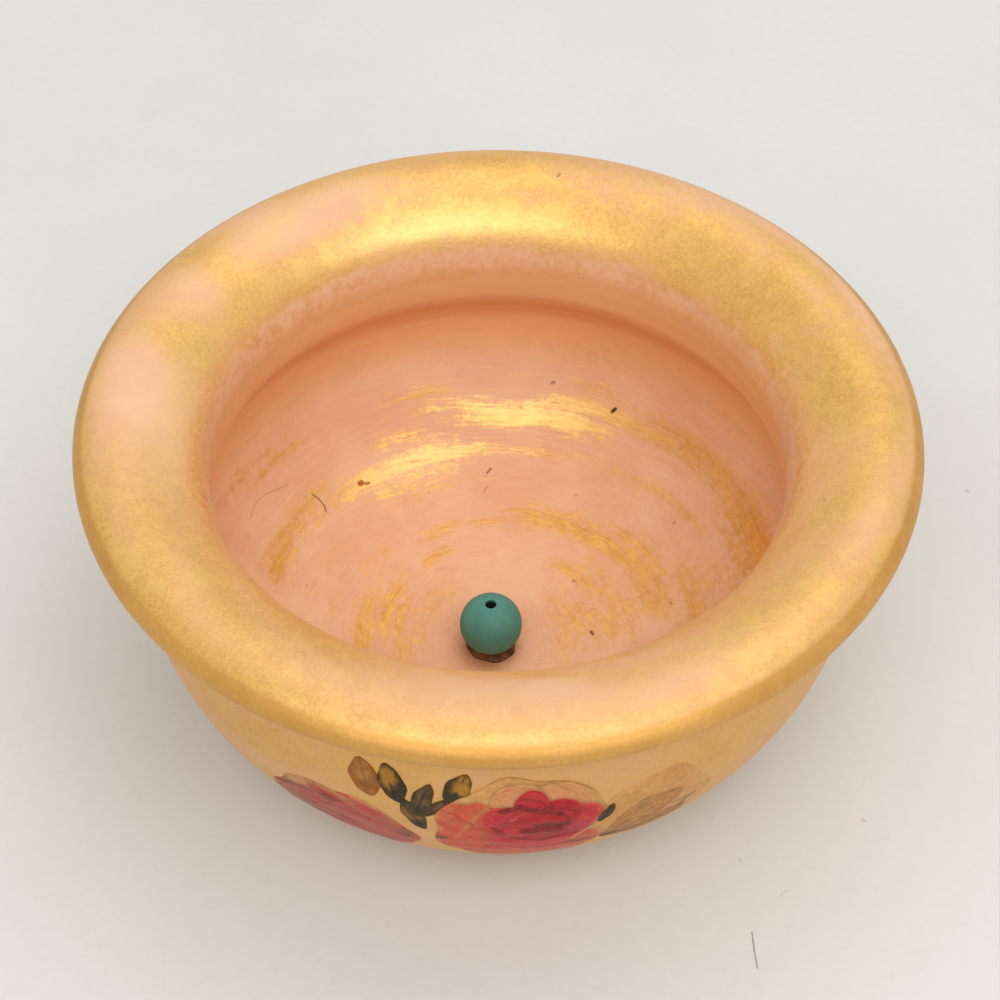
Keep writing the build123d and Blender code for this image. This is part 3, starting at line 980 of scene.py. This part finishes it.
def print_leaf(ink, u, z, base, tip, fullness, seed, rim_colour, heart, vein):
    """Lays one printed leaf on the ink; fullness is its width as a share of its length."""
    length = math.hypot(tip[0] - base[0], tip[1] - base[1])
    middle = ((base[0] + tip[0]) / 2, (base[1] + tip[1]) / 2)
    turn = math.atan2(tip[1] - base[1], tip[0] - base[0])
    along = (u - middle[0]) * math.cos(turn) + (z - middle[1]) * math.sin(turn)
    side = -(u - middle[0]) * math.sin(turn) + (z - middle[1]) * math.cos(turn)
    inside = smooth(1.05, 0.9, np.hypot(along / (length * 0.55), side / (length * fullness / 2)))
    return mix(ink, leaf_ink(u, z, base, tip, seed, rim_colour, heart, vein), inside)


def bud_sprig_ink(u, z):
    leaves = [
        ((-9.0, 24.2), (-4.0, 29.8), 301, OLIVE, (0.160, 0.090, 0.030), NAVY),
        ((-8.4, 21.2), (-10.8, 28.4), 302, OLIVE, OCHRE, NAVY),
        ((-9.5, 25.0), (-7.5, 31.6), 303, OLIVE, (0.190, 0.115, 0.030), NAVY),
        ((-5.4, 28.0), (-3.2, 34.2), 304, OLIVE, AMBER, NAVY),
        ((-11.0, 26.4), (-12.9, 33.8), 305, OLIVE, AMBER, NAVY),
    ]
    ink = np.zeros(np.shape(u) + (3,)) + OLIVE
    for base, tip, seed, rim_colour, heart, vein in leaves:
        ink = print_leaf(ink, u, z, base, tip, 0.54, seed, rim_colour, heart, vein)
    ink = spot(ink, u, z, (-11.0, 29.0), (1.2, 2.2), NAVY, 0.80)
    ink = spot(ink, u, z, (-12.3, 31.6), (0.9, 1.3), AMBER, 0.8)
    ink = spot(ink, u, z, (-5.0, 29.8), (1.0, 0.9), NAVY, 0.7)
    ink = spot(ink, u, z, (-3.8, 31.2), (0.8, 1.1), AMBER, 0.9)
    ink = spot(ink, u, z, (-7.9, 29.4), (0.7, 1.2), NAVY, 0.45)
    return ink


def tan_leaf_ink(u, z):
    return leaf_ink(u, z, (-14.4, 26.6), (-15.8, 34.0), 321, TAN, (0.46, 0.20, 0.045), (0.25, 0.095, 0.022))


def small_leaf_ink(u, z):
    return leaf_ink(u, z, (11.7, 22.0), (13.2, 26.4), 322, GREEN, OLIVE, NAVY)


BROWN = (0.330, 0.130, 0.035)
FAWN = (0.560, 0.265, 0.070)
LEAF_SPRAY_MARKS = [
    (print_leaf, (12.2, 17.6), (21.8, 24.0), 0.50, 401, (0.500, 0.225, 0.060), (0.620, 0.280, 0.080), BROWN),
    (print_leaf, (13.0, 16.4), (23.8, 17.8), 0.40, 402, (0.400, 0.180, 0.050), FAWN, BROWN),
    (brush_line, [(13.2, 20.6), (15.4, 23.4), (17.4, 25.0), (21.6, 24.4)], 0.30, BROWN, 0.65),
    (brush_line, [(16.9, 24.2), (16.4, 21.6), (14.8, 18.8)], 0.22, BROWN, 0.50),
    (brush_line, [(19.9, 23.2), (19.2, 20.4), (17.0, 18.2)], 0.22, BROWN, 0.50),
    (brush_line, [(12.6, 17.2), (16.8, 16.0), (20.8, 17.4), (24.2, 20.6)], 0.42, (0.130, 0.085, 0.035), 0.75),
    (spot, (22.6, 20.6), (1.3, 0.6), (0.200, 0.150, 0.070), 0.6),
    (spot, (17.2, 24.6), (0.9, 0.5), (0.220, 0.170, 0.080), 0.6),
    (spot, (13.2, 16.8), (2.0, 0.7), OLIVE, 0.7),
]


def leaf_spray_ink(u, z):
    return worn_print(draw(bare_tissue(u, z, 33), u, z, LEAF_SPRAY_MARKS), u, z, 37)


def paper_patch(outline, azimuth, lift, paint, rings, spokes):
    """Closed skin glued to the belly: its points, faces and printed colours.

    Outline gives (x, height) on the plane that faces azimuth, for a share of reach and a turn.
    """
    share = np.linspace(0, 1, rings)[:, None] ** 0.9
    turn = 2 * math.pi * np.arange(spokes)[None, :] / spokes
    x, z = outline(share + 0 * turn, turn + 0 * share)
    z = np.clip(z, 1.2, SHOULDER_Z)
    radius = belly_ellipse(z)
    angle = math.radians(azimuth) + np.arcsin(np.clip(x / radius, -0.9, 0.9))
    slope = np.stack([radius / BELLY_RADIUS**2, (z - BELLY_Z) / BELLY_HALF_HEIGHT**2], axis=-1)
    slope = slope / np.linalg.norm(slope, axis=-1, keepdims=True)
    raised = lift + 0.020 * fractal(x * 0.7, z * 0.7, 55)
    raised[-1] = -0.06
    raised[-2] = lift * 0.8
    clay_radius, clay_height = thrown(radius, z, angle)
    front = place(clay_radius + raised * slope[..., 0], clay_height + raised * slope[..., 1], angle)
    back = place(clay_radius - 0.08 * slope[..., 0], clay_height - 0.08 * slope[..., 1], angle)
    ink = np.clip(paint(np.degrees(angle) * DEGREE, z), 0.004, 0.95)
    back_rings = list(range(rings - 1, 0, -6))[1:]
    hidden = [back[r] for r in back_rings]
    points = np.concatenate([front[1:].reshape(-1, 3), *hidden, front[:1, 0], back[:1, 0]])
    hidden = [ink[r] for r in back_rings]
    inks = np.concatenate([ink[1:].reshape(-1, 3), *hidden, ink[:1, 0], ink[:1, 0]])
    rows = rings - 1 + len(back_rings)
    faces = grid_faces(rows, spokes, True)
    centre = rows * spokes
    last = (rows - 1) * spokes
    for c in range(spokes):
        d = (c + 1) % spokes
        faces.append((d, c, centre))
        faces.append((last + c, last + d, centre + 1))
    return points, faces, inks


def lay_paper(name, node, slot, material, patches):
    """One cut-out made of one or more overlapping patches."""
    points, faces, inks, count = [], [], [], 0
    for patch_points, patch_faces, patch_inks in patches:
        points.append(patch_points)
        inks.append(patch_inks)
        faces += [tuple(i + count for i in face) for face in patch_faces]
        count += len(patch_points)
    colours = {"ink": np.concatenate(inks)}
    piece = add_mesh(name, np.concatenate(points), faces, material, colours=colours)
    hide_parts(node)


def scalloped(centre_z, half_width, half_height, petals, depth):
    def outline(share, turn):
        reach = share * (1 - depth * (0.5 - 0.5 * np.cos(petals * turn)))
        reach = reach * (1 + 0.012 * np.sin(11 * turn + 1) * share)
        return reach * half_width * np.cos(turn), centre_z + reach * half_height * np.sin(turn)

    return outline


def leaf(base, tip, width):
    """Pointed leaf from base to tip, filled by a polar grid about its middle."""
    middle = ((base[0] + tip[0]) / 2, (base[1] + tip[1]) / 2)
    length = math.hypot(tip[0] - base[0], tip[1] - base[1])
    ahead = ((tip[0] - base[0]) / length, (tip[1] - base[1]) / length)

    def outline(share, turn):
        along = np.cos(turn)
        side = np.sin(turn) * (1 - 0.35 * along**2) * (1 + 0.05 * np.sin(6 * turn))
        p = share * along * length / 2
        q = share * side * width / 2
        return middle[0] + p * ahead[0] - q * ahead[1], middle[1] + p * ahead[1] + q * ahead[0]

    return outline


# Base, tip and width of each leaf of the sprig, the lowest first.
SPRIG_LEAVES = [
    ((-2.2, 24.0), (3.4, 29.6), 1.6),
    ((-0.6, 21.5), (-3.0, 28.0), 2.4),
    ((-1.7, 25.2), (0.3, 31.3), 2.4),
    ((2.2, 28.2), (4.4, 33.5), 3.0),
    ((-3.2, 26.9), (-4.9, 33.4), 3.2),
]


def build_papers():
    rose = ("printed_paper_rose", printed_paper("printed_rose", 0.30))
    leaves = ("printed_paper_leaf", printed_paper("printed_leaf", 0.34))
    pale = ("printed_paper_pale", printed_paper("printed_pale", 0.36))
    big_rose = scalloped(22.5, 10.6, 10.8, 7, 0.07)
    low_rose = scalloped(18.0, 9.6, 8.0, 6, 0.08)
    tan = leaf((0.8, 26.8), (-0.6, 33.3), 3.8)
    small = leaf((-0.6, 22.4), (1.0, 26.0), 1.6)
    spray = scalloped(21.8, 7.6, 8.2, 5, 0.10)
    sprig = []
    for i, shape in enumerate(SPRIG_LEAVES):
        sprig.append(paper_patch(leaf(*shape), -10, 0.12 + 0.008 * i, bud_sprig_ink, 34, 150))
    for node, look, patches in [
        ("centre_rose", rose, [paper_patch(big_rose, 4, 0.16, centre_rose_ink, 110, 320)]),
        ("left_rose", rose, [paper_patch(low_rose, -25, 0.08, left_rose_ink, 90, 280)]),
        ("bud_sprig", leaves, sprig),
        ("tan_leaf", leaves, [paper_patch(tan, -19.5, 0.10, tan_leaf_ink, 40, 160)]),
        ("small_leaf", leaves, [paper_patch(small, 15.8, 0.19, small_leaf_ink, 24, 100)]),
        ("leaf_spray", pale, [paper_patch(spray, 24, 0.06, leaf_spray_ink, 80, 240)]),
    ]:
        lay_paper(f"{node}_paper", node, *look, patches)


# ---------------------------------------------------------------------------- stage


TABLE = 1.6  # half the side of the table top, in metres
CAMERA_PLACE = (0.00028, -0.20671, 0.25167)
CAMERA_DIP = 46.984  # degrees below level
CAMERA_LENS = 88.77


def build_stage():
    mesh = bpy.data.meshes.new("table_top")
    corners = [(-TABLE, -TABLE, 0), (TABLE, -TABLE, 0), (TABLE, TABLE, 0), (-TABLE, TABLE, 0)]
    mesh.from_pydata(corners, [], [(0, 1, 2, 3)])
    mesh.materials.append(paper_floor())
    floor = bpy.data.objects.new("table_top", mesh)
    bpy.context.scene.collection.objects.link(floor)

    world = bpy.data.worlds.new("studio")
    bpy.context.scene.world = world
    world.use_nodes = True
    sky = world.node_tree.nodes["Background"]
    sky.inputs["Color"].default_value = (1.0, 0.985, 0.96, 1)
    sky.inputs["Strength"].default_value = 0.69

    def lamp(name, place_at, size, power, colour):
        data = bpy.data.lights.new(name, "AREA")
        data.shape = "RECTANGLE"
        data.size, data.size_y = size
        data.energy = power
        data.color = colour
        light = bpy.data.objects.new(name, data)
        light.location = place_at
        aim = -light.location
        light.rotation_euler = aim.to_track_quat("-Z", "Y").to_euler()
        bpy.context.scene.collection.objects.link(light)

    lamp("overhead", (0.14, 0.20, 0.90), (0.76, 0.66), 2.15, (1.0, 0.985, 0.96))
    lamp("front_window", (0.07, -0.45, 0.66), (1.0, 0.44), 3.35, (1.0, 0.975, 0.93))

    camera_data = bpy.data.cameras.new("camera")
    camera_data.lens = CAMERA_LENS
    camera_data.sensor_width = 36
    camera_data.clip_start = 0.01
    camera = bpy.data.objects.new("camera", camera_data)
    camera.location = CAMERA_PLACE
    camera.rotation_euler = (math.radians(90 - CAMERA_DIP), 0, 0)
    bpy.context.scene.collection.objects.link(camera)
    bpy.context.scene.camera = camera
    bpy.context.scene.view_settings.view_transform = "Standard"


build_bowl()
build_bead()
build_glue()
build_papers()
build_stage()
